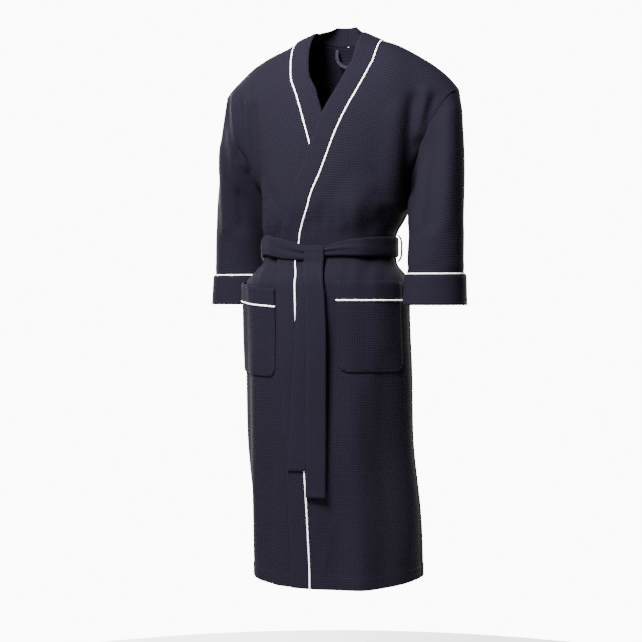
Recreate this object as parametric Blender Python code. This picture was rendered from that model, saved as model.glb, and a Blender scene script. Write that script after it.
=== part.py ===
"""Knee-length kimono robe of waffle cloth, in metres, +Z up, front towards -Y, wearer's left at +X.

The robe keeps the shape it has when worn. Every panel is a thin shell laid over one shared form, a
tube that narrows at the waist and closes at the shoulders. A place on the form is given by
t, from -1 at the wearer's right side seam over 0 in the middle to 1 at the left side seam,
h, metres below the armpit where it is negative, and 0 to 1 from the armpit up to the shoulder ridge,
and face, -1 on the front and 1 on the back.
The origin is on the middle line, level with the neck end of the shoulder ridges.
"""

from math import asin, copysign, cos, hypot, pi, sin, sqrt

import bmesh
import bpy
from mathutils import Vector

FRONT, BACK = -1, 1
LEFT, RIGHT = 1, -1

# Lengths down from the neck
ROBE_LENGTH = 1.210
ARMPIT_DROP = 0.365
BELT_DROP = 0.468
HIP_DROP = 0.552
SLEEVE_LENGTH_DROP = 0.588

# The form: half width, front depth, back depth and how far the stance shifts it sideways
CHEST = (0.164, 0.118, 0.100, -0.011)
WAIST = (0.148, 0.107, 0.092, -0.026)
HIP = (0.181, 0.126, 0.122, -0.031)
HEM = (0.185, 0.134, 0.130, -0.005)
SQUARENESS = 0.22

# Shoulders
SHOULDER_SPAN = 0.524
SHOULDER_SLOPE = 0.49
SHOULDER_ROUNDING = 0.033
ARMHOLE_SHARE = 0.56
ARMHOLE_RISE = 0.45
NECK_HALF_WIDTH = 0.095
NECK_DROP = 0.018
NECK_SMOOTHING = 0.03
BACK_NECK_TURN = 0.71
BACK_NECK_FULLNESS = 0.9
COLLAR_LEAN = 0.12

# Cloth
CLOTH = 0.0024
BAND_CLOTH = 0.0048
BAND_WIDTH = 0.043
PIPING_RADIUS = 0.0016
SEAM_GAP = 0.0010
PIPING_GAP = 0.0008
LAYER_GAP = 0.0016

# Seam of each band, as (drop below the neck, distance from the middle towards the band's own side)
BAND_SEAM = {
    LEFT: ((0.018, 0.095), (0.090, 0.073), (0.200, 0.025), (0.330, -0.018), (0.440, -0.031), (1.5, -0.029)),
    RIGHT: ((0.018, 0.095), (0.096, 0.088), (0.140, 0.069), (0.233, 0.038), (0.440, -0.031), (1.5, -0.029)),
}
LAP_RAMP = 0.045
LAP_MARGIN = 0.004

# Sleeves: half width and half depth at the cuff, and where each cuff hangs, as (left, back)
CUFF_HALF_WIDTH = 0.060
CUFF_HALF_DEPTH = 0.055
CUFF_WIDTH = 0.070
CUFF_PLACE = {LEFT: (0.227, -0.060), RIGHT: (-0.264, 0.085)}
ARMHOLE_GAP_TOP = 0.0012
ARMHOLE_GAP_BOTTOM = 0.0090
SLEEVE_SPREAD = 0.3

# Belt
BELT_WIDTH = 0.044
BELT_CLOTH = 0.0045
KNOT_WIDTH = 0.043
KNOT_BEND = 0.001
FRONT_TAIL_DROP = 1.013
REAR_TAIL_DROP = 0.953
KNOT_PLACE = 0.003
# Middle line of each belt end, as (drop, how far to the left)
FRONT_TAIL_LINE = ((0.495, -0.024), (0.571, -0.015), (0.685, -0.011), (1.2, -0.011))
REAR_TAIL_LINE = ((0.495, -0.024), (0.585, -0.035), (0.700, -0.041), (1.2, -0.062))
TAIL_GAP = 0.0015
LOOP_WIDTH = 0.008
LOOP_CLOTH = 0.0018
LOOP_OVERRUN = 0.005
LOOP_BEND = 0.007
LOOP_BOW = 0.0013

# Pockets
POCKET_TOP_DROP = 0.542
POCKET_HEIGHT = 0.198
POCKET_WIDTH = 0.148
POCKET_BAND_WIDTH = 0.038
POCKET_CORNER = 0.022
POCKET_BAG = 0.012
POCKET_START = {LEFT: 0.060, RIGHT: 0.089}

# Inside of the back neck
HANGER_WIDTH = 0.044
HANGER_DROP = 0.036
HANGER_SEAM_ALLOWANCE = 0.004
HANGER_TAPE = 0.007
HANGER_CLOTH = 0.0015
LABEL_WIDTH = 0.056
LABEL_TURN = 0.28
LABEL_TURN_HEIGHT = 0.055
LABEL_CLOTH = 0.0008

# Worked out from the sizes above
LAP = BAND_CLOTH + LAYER_GAP
BELT_LIFT = LAP + BAND_CLOTH + LAYER_GAP
SEAM_OFFSET = PIPING_RADIUS + PIPING_GAP
SPLIT_DROP = BELT_DROP + BELT_WIDTH / 2 + BELT_CLOTH + SEAM_GAP
BELT_FLAT = BELT_WIDTH / 2 + 0.004
STEP = 0.01
FINE_STEP = 0.002
COLUMNS = 9


def smoothstep(x):
    x = min(1.0, max(0.0, x))
    return x * x * (3 - 2 * x)


def lerp(a, b, share):
    return a + (b - a) * share


def spread(start, end, steps):
    return [lerp(start, end, i / steps) for i in range(steps + 1)]


def slope_at(points, i):
    """Slope of the smooth curve at point i: level at both ends and at a peak or a hollow."""
    if i in (0, len(points) - 1):
        return 0.0
    (x0, y0), (x1, y1), (x2, y2) = points[i - 1 : i + 2]
    before = (y1 - y0) / (x1 - x0)
    after = (y2 - y1) / (x2 - x1)
    return 2 * before * after / (before + after) if before * after > 0 else 0.0


def through(points, x):
    """A smooth curve through points that never overshoots them."""
    x = min(points[-1][0], max(points[0][0], x))
    i = max(j for j in range(len(points) - 1) if points[j][0] <= x)
    (x0, y0), (x1, y1) = points[i : i + 2]
    width = x1 - x0
    s = (x - x0) / width
    rise = slope_at(points, i) * width
    fall = slope_at(points, i + 1) * width
    return y0 + (3 * s * s - 2 * s**3) * (y1 - y0) + (s - 2 * s * s + s**3) * rise + (s**3 - s * s) * fall


def section(h):
    """Half width, front depth, back depth and sideways shift of the form at height h."""
    if h > 0:
        share = sin(h * pi / 2)
        half = lerp(CHEST[0], SHOULDER_SPAN / 2, share)
        return half, CHEST[1], CHEST[2], CHEST[3] * (1 - share)
    drops = (ARMPIT_DROP, BELT_DROP - BELT_FLAT, BELT_DROP + BELT_FLAT, HIP_DROP, ROBE_LENGTH)
    sizes = (CHEST, WAIST, WAIST, HIP, HEM)
    return tuple(through([(d, s[i]) for d, s in zip(drops, sizes)], ARMPIT_DROP - h) for i in range(4))


def shoulder_height(x):
    """Height of the shoulder ridge, which slopes from the neck and rounds over at the sleeve seam."""
    reach = hypot(x, NECK_SMOOTHING) - hypot(NECK_HALF_WIDTH, NECK_SMOOTHING)
    rounding = SHOULDER_ROUNDING * (abs(x) / (SHOULDER_SPAN / 2)) ** 8
    return -NECK_DROP - SHOULDER_SLOPE * reach - rounding


def height_at(x, h):
    if h <= 0:
        return h - ARMPIT_DROP
    return -ARMPIT_DROP + (shoulder_height(x) + ARMPIT_DROP) * sin(h * pi / 2)


def h_at(drop):
    """The height h of a level below the armpit."""
    return ARMPIT_DROP - drop


def form(t, h, face):
    """The point of the form at t, h on one face."""
    half, front, back, shift = section(h)
    depth = front if face == FRONT else back
    across = sin(abs(t) * pi / 2)
    closed = cos(abs(t) * pi / 2) * (1 + SQUARENESS * across**2)
    x = shift + copysign(half * across, t)
    if h > 0:
        up = h * pi / 2
        opened = sin(min(1.0, h / ARMHOLE_RISE) * pi / 2)
        open_side = ARMHOLE_SHARE + (1 - ARMHOLE_SHARE) * closed**2
        closed = lerp(closed, open_side, opened)
        depth *= cos(up) * (1 + SQUARENESS * sin(up) ** 2)
    return Vector((x, face * (SEAM_GAP / 2 + depth * closed), height_at(x, h)))


def outward(t, h, face):
    """The direction straight out of the form."""
    along = form(min(1, t + STEP), h, face) - form(max(-1, t - STEP), h, face)
    up = form(t, min(1, h + STEP), face) - form(t, h - STEP, face)
    return along.cross(up).normalized() * -face


def on_form(t, h, face, lift=0.0):
    """A point lifted off the form, with its outward direction."""
    direction = outward(t, h, face)
    return form(t, h, face) + direction * lift, direction


def level_lift(t, h, lift):
    """A point of the front moved level outwards until it stands lift off the form."""
    direction = outward(t, h, FRONT)
    level = Vector((direction.x, direction.y, 0))
    return form(t, h, FRONT) + level * lift / level.length_squared, level.normalized()


def t_at(x, h):
    """The t of a distance x from the middle line at height h."""
    return asin(min(1.0, max(-1.0, x / section(h)[0]))) / (pi / 2)


def x_at(t, h):
    """The distance from the middle line of a t at height h."""
    return section(h)[0] * sin(t * pi / 2)


def seam_stretch(side, drop):
    """How much wider a level cut across the band is than the band."""
    change = through(BAND_SEAM[side], drop + STEP) - through(BAND_SEAM[side], drop - STEP)
    return sqrt(1 + (change / (2 * STEP)) ** 2)


def seam_x(side, h, offset):
    """Distance of a band seam from the middle line at height h, moved out from the middle by offset."""
    x = NECK_HALF_WIDTH
    for _ in range(12):
        drop = -height_at(x + section(h)[3], h)
        x = through(BAND_SEAM[side], drop) + offset * seam_stretch(side, drop)
    return x


def lap(x, h):
    """How far the outer front stands off the form where the inner front lies under it."""
    inner_edge = -seam_x(RIGHT, h, -SEAM_OFFSET - BAND_WIDTH)
    return LAP * (1 - smoothstep((x - inner_edge - LAP_MARGIN) / LAP_RAMP))


def on_front(side, t, h, lift=0.0):
    """A point on one front, t out from the middle towards the side that this front comes from."""
    if side == LEFT:
        lift += lap(x_at(t, h), h)
    return on_form(side * t, h, FRONT, lift)


def link(obj, color, roughness):
    material = bpy.data.materials.new(obj.name)
    material.use_nodes = True
    shader = material.node_tree.nodes["Principled BSDF"]
    shader.inputs["Base Color"].default_value = (*color, 1)
    shader.inputs["Roughness"].default_value = roughness
    obj.data.materials.append(material)
    bpy.context.collection.objects.link(obj)


def navy_cloth(obj):
    link(obj, (0.036, 0.035, 0.058), 0.9)


def white_cotton(obj):
    link(obj, (0.83, 0.83, 0.86), 0.6)


def shell(name, rows, thickness, ring=False):
    """A closed shell of cloth over rows of (point, outward direction), inner face on the points."""
    mesh = bmesh.new()
    inner = [[mesh.verts.new(p) for p, _ in row] for row in rows]
    outer = [[mesh.verts.new(p + n * thickness) for p, n in row] for row in rows]
    width = len(rows[0])
    steps = range(width if ring else width - 1)
    for i in range(len(rows) - 1):
        for j in steps:
            k = (j + 1) % width
            mesh.faces.new((inner[i][j], inner[i][k], inner[i + 1][k], inner[i + 1][j]))
            mesh.faces.new((outer[i][j], outer[i + 1][j], outer[i + 1][k], outer[i][k]))
    for i in (0, -1):
        for j in steps:
            k = (j + 1) % width
            mesh.faces.new((inner[i][j], inner[i][k], outer[i][k], outer[i][j]))
    if not ring:
        for j in (0, -1):
            for i in range(len(rows) - 1):
                mesh.faces.new((inner[i][j], inner[i + 1][j], outer[i + 1][j], outer[i][j]))
    bmesh.ops.recalc_face_normals(mesh, faces=mesh.faces)
    bmesh.ops.triangulate(mesh, faces=mesh.faces)
    data = bpy.data.meshes.new(name)
    mesh.to_mesh(data)
    mesh.free()
    data.shade_smooth()
    data.set_sharp_from_angle(angle=pi / 4)
    return bpy.data.objects.new(name, data)


def piping(name, points, ring=False):
    """White cord along points."""
    curve = bpy.data.curves.new(name, "CURVE")
    curve.dimensions = "3D"
    curve.bevel_depth = PIPING_RADIUS
    curve.bevel_resolution = 1
    curve.use_fill_caps = True
    spline = curve.splines.new("POLY")
    spline.points.add(len(points) - 1)
    for place, point in zip(spline.points, points):
        place.co = (*point, 1)
    spline.use_cyclic_u = ring
    white_cotton(bpy.data.objects.new(name, curve))


SKIRT_LEVELS = [h_at(drop) for drop in spread(ROBE_LENGTH, SPLIT_DROP + SEAM_GAP / 2, 12)]
BELT_LEVELS = [h_at(SPLIT_DROP - SEAM_GAP / 2), h_at(BELT_DROP - BELT_FLAT)]
CHEST_LEVELS = [h_at(drop) for drop in spread(BELT_DROP - BELT_FLAT, ARMPIT_DROP, 2)[1:]]
SHOULDER_LEVELS = [i / 9 for i in range(1, 10)]
UPPER_LEVELS = BELT_LEVELS + CHEST_LEVELS + SHOULDER_LEVELS
ALL_LEVELS = SKIRT_LEVELS + UPPER_LEVELS


def make_front(name, side, levels):
    """A front panel, from its band seam round to the side seam and the armhole."""
    rows = []
    for h in levels:
        edge = t_at(seam_x(side, h, SEAM_OFFSET), h)
        row = []
        for t in spread(edge, 1.0, COLUMNS):
            row.append(on_front(side, t, h))
        rows.append(row)
    navy_cloth(shell(name, rows, CLOTH))


def neck_turn(share, offset):
    """(t, h) of the back neck seam, from the ridge at share 0 to the centre back at 1, moved out by offset."""
    corner = t_at(NECK_HALF_WIDTH + offset, 1.0)
    t = corner * (1 - share)
    low = BACK_NECK_TURN - offset / CHEST[2] / (pi / 2)
    return t, 1 - (1 - low) * sin(share * pi / 2) ** BACK_NECK_FULLNESS


def make_back():
    """The back panel, cut out round the neck."""
    corner = t_at(NECK_HALF_WIDTH + SEAM_OFFSET, 1.0)
    half = [(corner * i / 5, neck_turn(1 - i / 5, SEAM_OFFSET)[1]) for i in range(6)]
    half += [(t, 1.0) for t in spread(corner, 1.0, 6)[1:]]
    columns = [(-t, top) for t, top in reversed(half[1:])] + half
    rows = [[on_form(t, h, BACK) for t, _ in columns] for h in ALL_LEVELS if h <= 0]
    rows += [[on_form(t, h * top, BACK) for t, top in columns] for h in SHOULDER_LEVELS]
    navy_cloth(shell("back_body", rows, CLOTH))


def collar_rows(side, steps=7):
    """The band round the back of the neck: its stations turn from the shoulder slope to standing up."""
    ridge, _ = on_front(side, t_at(seam_x(side, 1.0, -SEAM_OFFSET), 1.0), 1.0)
    ridge_end, _ = on_front(side, t_at(seam_x(side, 1.0, -SEAM_OFFSET - BAND_WIDTH), 1.0), 1.0)
    lie = (ridge_end - ridge).normalized()
    stand = Vector((0, -COLLAR_LEAN, 1)).normalized()
    feet = []
    for i in range(steps + 1):
        t, h = neck_turn(i / steps, -SEAM_OFFSET)
        feet.append(form(side * t, h, BACK))
    feet[-1].x = side * SEAM_GAP / 2
    rows = []
    for i in range(1, steps + 1):
        rise = lie.lerp(stand, smoothstep(i / steps)).normalized()
        travel = feet[min(i + 1, steps)] - feet[i - 1] if i < steps else Vector((-side, 0, 0))
        if i == steps:
            rise.x = 0
        out = (travel.cross(rise) * side).normalized()
        rows.append([(feet[i] + rise * BAND_WIDTH * share, out) for share in (0, 0.5, 1)])
    return rows


def band_rows(side, levels):
    """The band down a front: from its seam to its free edge."""
    rows = []
    for h in levels:
        root = t_at(seam_x(side, h, -SEAM_OFFSET), h)
        edge = t_at(seam_x(side, h, -SEAM_OFFSET - BAND_WIDTH), h)
        row = []
        for t in spread(root, edge, 2):
            row.append(on_front(side, t, h))
        rows.append(row)
    return rows


def piping_points(side, levels, round_neck):
    """The cord in the band seam, lying on the cloth."""
    points = [on_front(side, t_at(seam_x(side, h, 0.0), h), h, CLOTH)[0] for h in levels]
    if round_neck:
        for i in range(1, 8):
            t, h = neck_turn(i / 7, 0.0)
            points.append(on_form(side * t, h, BACK, CLOTH)[0])
        points[-1].x = side * SEAM_GAP / 2
    return points


def make_bands():
    navy_cloth(shell("left_band_skirt", band_rows(LEFT, SKIRT_LEVELS), BAND_CLOTH))
    navy_cloth(shell("left_band_upper", band_rows(LEFT, UPPER_LEVELS) + collar_rows(LEFT), BAND_CLOTH))
    navy_cloth(shell("right_band", band_rows(RIGHT, ALL_LEVELS) + collar_rows(RIGHT), BAND_CLOTH))
    piping("left_band_piping_skirt", piping_points(LEFT, SKIRT_LEVELS, False))
    piping("left_band_piping_upper", piping_points(LEFT, UPPER_LEVELS, True))
    piping("right_band_piping", piping_points(RIGHT, ALL_LEVELS, True))


def armhole_ring(side, steps=12):
    """The sleeve's top edge, standing off the body's armhole: up the front and down the back."""
    top = form(side, 1.0, FRONT)
    bottom = form(side, 0.0, FRONT)
    line = (top - bottom).normalized()
    away = Vector((side * abs(line.z), 0, -abs(line.x)))
    turns = [(i / steps, FRONT) for i in range(steps + 1)]
    turns += [(i / steps, BACK) for i in range(steps - 1, 0, -1)]
    ring = []
    for h, face in turns:
        share = sin(h * pi / 2)
        ring.append(form(side, h, face) + away * lerp(ARMHOLE_GAP_BOTTOM, ARMHOLE_GAP_TOP, share))
    return ring, away


def cuff_ring(side, z, steps=12, grow=0.0):
    """The sleeve's level section at its end, from the side next to the body round by the front."""
    x, y = CUFF_PLACE[side]
    ring = []
    for i in range(2 * steps):
        turn = pi * i / steps
        across = -side * (CUFF_HALF_WIDTH + grow) * cos(turn)
        ring.append(Vector((x + across, y - (CUFF_HALF_DEPTH + grow) * sin(turn), z)))
    return ring


def hermite(a, b, leave, arrive, s):
    """A curve from a to b with the given directions at its ends."""
    start = a * (2 * s**3 - 3 * s**2 + 1) + leave * (s**3 - 2 * s**2 + s)
    return start + b * (3 * s**2 - 2 * s**3) + arrive * (s**3 - s**2)


def ring_directions(rows, i, j):
    """Outward direction of a tube of rings at ring i, place j."""
    width = len(rows[0])
    round_it = rows[i][(j + 1) % width] - rows[i][j - 1]
    down = rows[min(i + 1, len(rows) - 1)][j] - rows[max(i - 1, 0)][j]
    return down.cross(round_it).normalized()


def make_sleeve(side, name):
    """A sleeve from the armhole down to its level end, straight where the cuff goes round it."""
    straight = -SLEEVE_LENGTH_DROP + CUFF_WIDTH + 3 * PIPING_RADIUS
    top, away = armhole_ring(side)
    end = cuff_ring(side, straight)
    rows = []
    for s in spread(0, 1, 7):
        ring = []
        for a, b in zip(top, end):
            reach = (b - a).length
            leave = (b - a).normalized().lerp(away, SLEEVE_SPREAD) * reach
            ring.append(hermite(a, b, leave, Vector((0, 0, -reach)), s))
        rows.append(ring)
    rows.append(cuff_ring(side, -SLEEVE_LENGTH_DROP + CLOTH))
    rows = [
        [(p, ring_directions(rows, i, j) * side) for j, p in enumerate(ring)]
        for i, ring in enumerate(rows)
    ]
    navy_cloth(shell(f"{name}_sleeve", rows, CLOTH, ring=True))


def make_cuff(side, name):
    """The turned-back cuff of double cloth, with a cord round its upper edge."""
    inside = CLOTH + LAYER_GAP
    low, high = -SLEEVE_LENGTH_DROP, -SLEEVE_LENGTH_DROP + CUFF_WIDTH
    rows = []
    for z in (low, high):
        centre = Vector((*CUFF_PLACE[side], z))
        rows.append([(p, (p - centre).normalized()) for p in cuff_ring(side, z, grow=inside)])
    navy_cloth(shell(f"{name}_cuff", rows, BAND_CLOTH, ring=True))
    grow = CLOTH + SEAM_GAP + PIPING_RADIUS
    piping(f"{name}_cuff_piping", cuff_ring(side, high + SEAM_OFFSET, grow=grow), ring=True)


def arc_to_t(start, length, h):
    """The t reached by going length round the form from x = start at height h."""
    t = t_at(start, h)
    gone = 0.0
    here = form(t, h, FRONT)
    while gone < length:
        t += FINE_STEP
        there = form(min(1.0, t), h, FRONT)
        gone += (there - here).length
        here = there
        if t >= 1.0:
            return 1.0
    return t


def pocket_lift(side, x, h, share, drop):
    """How far the pocket's cloth stands off its front panel: most in the middle of the mouth."""
    base = CLOTH + LAYER_GAP + (lap(x, h) if side == LEFT else 0.0)
    depth = (drop - POCKET_TOP_DROP) / POCKET_HEIGHT
    return base + POCKET_BAG * sin(pi * share) * (1 - depth * depth)


def pocket_rows(side, drops, lift=0.0):
    """Rows of a pocket between its two upright edges, with its lower corners rounded."""
    level = h_at(POCKET_TOP_DROP + POCKET_HEIGHT / 2)
    first = t_at(POCKET_START[side], level)
    last = arc_to_t(POCKET_START[side], POCKET_WIDTH, level)
    bottom = POCKET_TOP_DROP + POCKET_HEIGHT
    rows = []
    for drop in drops:
        h = h_at(drop)
        into = max(0.0, POCKET_CORNER - (bottom - drop))
        inset = (POCKET_CORNER - sqrt(POCKET_CORNER**2 - into**2)) / POCKET_WIDTH
        row = []
        for share in spread(inset, 1 - inset, 8):
            t = lerp(first, last, share)
            stand_off = pocket_lift(side, x_at(t, h), h, share, drop) + lift
            row.append(on_form(side * t, h, FRONT, stand_off))
        rows.append(row)
    return rows


def make_pocket(side, name):
    """A patch pocket: bag, cord and double top band, open along its upper edge."""
    seam = POCKET_TOP_DROP + POCKET_BAND_WIDTH + SEAM_OFFSET
    bottom = POCKET_TOP_DROP + POCKET_HEIGHT
    corner = [bottom - POCKET_CORNER * (1 - sin(turn)) for turn in spread(pi / 2, 0, 3)]
    drops = corner + spread(bottom - POCKET_CORNER, seam + SEAM_OFFSET, 3)[1:]
    navy_cloth(shell(f"{name}_pocket", pocket_rows(side, drops), CLOTH))
    band = spread(seam - SEAM_OFFSET, POCKET_TOP_DROP, 2)
    navy_cloth(shell(f"{name}_pocket_band", pocket_rows(side, band), CLOTH * 1.5))
    cord = [p for p, _ in pocket_rows(side, [seam], CLOTH)[0]]
    piping(f"{name}_pocket_piping", cord)


def belt_lift(x):
    """How far the belt stands off the form: more where both fronts and their bands lie under it."""
    covered = abs(seam_x(LEFT, h_at(BELT_DROP), -SEAM_OFFSET - BAND_WIDTH)) + 2 * LAP_MARGIN
    most = BELT_LIFT - CLOTH - LAYER_GAP
    return CLOTH + LAYER_GAP + most * (1 - smoothstep((abs(x) - covered) / LAP_RAMP))


def make_belt():
    """The belt round the waist, one closed turn of double cloth."""
    h = h_at(BELT_DROP)
    turns = [(t, FRONT) for t in spread(-1, 1, 20)] + [(t, BACK) for t in spread(1, -1, 16)[1:-1]]
    row = []
    for t, face in turns:
        lift = belt_lift(x_at(t, h)) if face == FRONT else CLOTH + LAYER_GAP
        direction = outward(t, h, face)
        direction.z = 0
        direction.normalize()
        row.append((form(t, h, face) + direction * lift, direction))
    rows = []
    for drop in (BELT_WIDTH / 2, -BELT_WIDTH / 2):
        rows.append([(p - Vector((0, 0, drop)), n) for p, n in row])
    navy_cloth(shell("belt", rows, BELT_CLOTH, ring=True))


def belt_front(x, lift, z):
    """A point at the front of the belt."""
    h = h_at(BELT_DROP)
    point, direction = on_form(t_at(x, h), h, FRONT, lift)
    return Vector((point.x, point.y, z)), direction


def make_knot():
    """The turn of the belt that folds over its top edge and under its lower edge."""
    top = -BELT_DROP + BELT_WIDTH / 2 + PIPING_GAP
    low = -BELT_DROP - BELT_WIDTH / 2 - PIPING_GAP
    back = BELT_LIFT + TAIL_GAP
    front = BELT_LIFT + BELT_CLOTH + TAIL_GAP / 2
    path = (
        (back, top, 1.0, 0.0),
        (front - KNOT_BEND, top, 0.8, 0.6),
        (front, top - KNOT_BEND, 0.2, 0.98),
        (front, low + KNOT_BEND, -0.2, 0.98),
        (front - KNOT_BEND, low, -0.8, 0.6),
        (back, low, -1.0, 0.0),
    )
    rows = []
    for lift, z, up, out in path:
        row = []
        for x in spread(KNOT_PLACE - KNOT_WIDTH / 2, KNOT_PLACE + KNOT_WIDTH / 2, 3):
            point, direction = belt_front(x, lift, z)
            row.append((point, (direction * out + Vector((0, 0, up))).normalized()))
        rows.append(row)
    navy_cloth(shell("belt_knot", rows, BELT_CLOTH))


def make_tail(name, line, end_drop, lift):
    """A belt end hanging down the front from under the knot, along its middle line."""
    rows = []
    for drop in spread(end_drop, SPLIT_DROP + SEAM_GAP / 2, 12):
        h = h_at(drop)
        middle = through(line, drop) - section(h)[3]
        xs = spread(middle - KNOT_WIDTH / 2, middle + KNOT_WIDTH / 2, 3)
        rows.append([level_lift(t_at(x, h), h, lift) for x in xs])
    navy_cloth(shell(name, rows, BELT_CLOTH))


def make_belt_loop(side, name):
    """A strap over the belt, sewn to the back panel beside the side seam."""
    rest = CLOTH + LAYER_GAP
    out = rest + BELT_CLOTH + LAYER_GAP
    clear = BELT_WIDTH / 2 + SEAM_GAP
    path = (
        (clear + LOOP_OVERRUN, rest, 0.0),
        (clear, rest + SEAM_GAP / 3, 0.25),
        (clear - SEAM_GAP / 2, out, 0.6),
        (clear - LOOP_BEND, out + LOOP_BOW, 0.0),
        (0.0, out + LOOP_BOW, 0.0),
    )
    path += tuple((-z, lift, -tip) for z, lift, tip in reversed(path[:-1]))
    shift = form(side, h_at(BELT_DROP), BACK)
    rows = []
    for z, lift, tip in path:
        h = h_at(BELT_DROP - z)
        foot = form(side, h, BACK)
        x = (foot.x if abs(z) >= clear else shift.x) + side * lift
        direction = Vector((side, 0, tip)).normalized()
        row = [(Vector((x, SEAM_GAP + y, -BELT_DROP + z)), direction) for y in (0.0, LOOP_WIDTH)]
        rows.append(row)
    navy_cloth(shell(f"{name}_belt_loop", rows, LOOP_CLOTH))


def make_hanger_loop():
    """A loop of narrow tape hanging inside the back neck seam."""
    seam_t, seam_h = neck_turn(1.0, 0.0)
    top = form(seam_t, seam_h, BACK)
    y = top.y - 2 * HANGER_CLOTH - LAYER_GAP
    rows = []
    corner = HANGER_WIDTH / 2
    turns = spread(0, pi, 10)
    path = [(-corner, 0.0, -1.0, 0.0)]
    path += [(-corner * cos(a), -(HANGER_DROP - corner) - corner * sin(a), -cos(a), -sin(a)) for a in turns]
    path += [(corner, 0.0, 1.0, 0.0)]
    for x, z, nx, nz in path:
        out = Vector((nx, 0, nz))
        point = Vector((x, y, top.z + z - HANGER_SEAM_ALLOWANCE))
        rows.append([(point, Vector((0, 1, 0))), (point + out * HANGER_TAPE, Vector((0, 1, 0)))])
    white_cotton(shell("hanger_loop", rows, HANGER_CLOTH))


def make_label():
    """A plain woven label inside the back, under the hanger loop."""
    start = neck_turn(1.0, 0.0)[1] - LABEL_TURN
    across = spread(-LABEL_WIDTH / 2, LABEL_WIDTH / 2, 4)
    rows = []
    for h in spread(start, start + LABEL_TURN_HEIGHT, 2):
        rows.append([on_form(t_at(x, h), h, BACK, -LABEL_CLOTH - PIPING_GAP) for x in across])
    white_cotton(shell("neck_label", rows, LABEL_CLOTH))


def main():
    for obj in list(bpy.data.objects):
        bpy.data.objects.remove(obj, do_unlink=True)
    make_back()
    make_front("left_front_upper", LEFT, UPPER_LEVELS)
    make_front("left_front_skirt", LEFT, SKIRT_LEVELS)
    make_front("right_front", RIGHT, ALL_LEVELS)
    make_bands()
    for side, name in ((LEFT, "left"), (RIGHT, "right")):
        make_sleeve(side, name)
        make_cuff(side, name)
        make_pocket(side, name)
        make_belt_loop(side, name)
    make_belt()
    make_knot()
    make_tail("belt_tail_rear", REAR_TAIL_LINE, REAR_TAIL_DROP, BELT_LIFT)
    front_lift = BELT_LIFT + BELT_CLOTH + TAIL_GAP
    make_tail("belt_tail_front", FRONT_TAIL_LINE, FRONT_TAIL_DROP, front_lift)
    make_hanger_loop()
    make_label()


main()
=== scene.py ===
"""Looks of the knee-length waffle robe: cloth, cords, belt and stitching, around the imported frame.

The cloth lies on the same form as the solids. A place on it is t, from -1 at the wearer's right side
seam to 1 at the left one, h, metres below the armpit where negative and 0 to 1 up to the shoulder
ridge, and a face, FRONT or BACK.
"""

from math import cos, pi, radians, sin

import bmesh
import bpy
import numpy as np
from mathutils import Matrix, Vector


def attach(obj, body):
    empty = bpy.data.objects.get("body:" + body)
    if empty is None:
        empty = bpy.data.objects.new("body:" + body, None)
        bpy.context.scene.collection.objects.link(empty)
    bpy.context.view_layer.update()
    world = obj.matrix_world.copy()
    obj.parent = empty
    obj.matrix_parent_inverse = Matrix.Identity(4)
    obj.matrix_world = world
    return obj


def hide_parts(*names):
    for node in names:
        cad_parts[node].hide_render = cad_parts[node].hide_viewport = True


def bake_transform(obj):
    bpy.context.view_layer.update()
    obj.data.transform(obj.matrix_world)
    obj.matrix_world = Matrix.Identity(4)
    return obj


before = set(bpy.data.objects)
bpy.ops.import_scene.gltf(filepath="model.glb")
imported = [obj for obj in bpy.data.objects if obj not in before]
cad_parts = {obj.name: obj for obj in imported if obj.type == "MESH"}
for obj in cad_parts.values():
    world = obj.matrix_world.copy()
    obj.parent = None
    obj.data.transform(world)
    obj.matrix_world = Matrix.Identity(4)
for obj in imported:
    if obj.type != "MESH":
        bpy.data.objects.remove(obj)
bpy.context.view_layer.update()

FRONT, BACK = -1, 1
LEFT, RIGHT = 1, -1

# Lengths down from the neck
ROBE_LENGTH = 1.194
ARMPIT_DROP = 0.365
BELT_DROP = 0.468
HIP_DROP = 0.552
THIGH_DROP = 0.880
SLEEVE_DROP = 0.5905

# The form: half width, front depth, back depth and sideways stance at each level
CHEST = (0.164, 0.118, 0.100, -0.011)
WAIST = (0.148, 0.107, 0.092, -0.026)
HIP = (0.181, 0.126, 0.122, -0.031)
THIGH = (0.183, 0.130, 0.126, -0.026)
HEM = (0.185, 0.134, 0.130, -0.005)
HEM_RISE = 0.014  # at the side seams
BELT_PINCH = 0.005
PINCH_REACH = 0.032
SQUARENESS = 0.22
SHOULDER_SPAN = 0.524
SHOULDER_SLOPE = 0.49
SHOULDER_ROUNDING = 0.033
ARMHOLE_SHARE = 0.56
ARMHOLE_RISE = 0.45
NECK_HALF_WIDTH = 0.095
NECK_DROP = 0.018
BACK_NECK_TURN = 0.71

# Cloth: single, doubled in the bands, and how they lie on each other
CLOTH = 0.0024
BAND_CLOTH = 0.0046
BAND_WIDTH = 0.043
CORD_RADIUS = 0.0017
LAYER_GAP = 0.0016
LAP = BAND_CLOTH + LAYER_GAP
LAP_RAMP = 0.045
LAP_MARGIN = 0.004
# The band seams of the two fronts: how far down, how far out to their own side
BAND_SEAM = {
    LEFT: (
        (0.018, 0.095), (0.060, 0.094), (0.092, 0.085), (0.200, 0.037), (0.300, 0.003),
        (0.370, -0.023), (0.450, -0.034), (0.500, -0.0425), (0.535, -0.034), (0.620, -0.029),
        (0.880, -0.0175), (0.970, -0.016), (1.120, -0.0205), (1.210, -0.021),
    ),
    RIGHT: (
        (0.018, 0.095), (0.096, 0.085), (0.140, 0.065), (0.233, 0.031), (0.440, -0.031), (1.5, -0.029),
    ),
}

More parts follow.
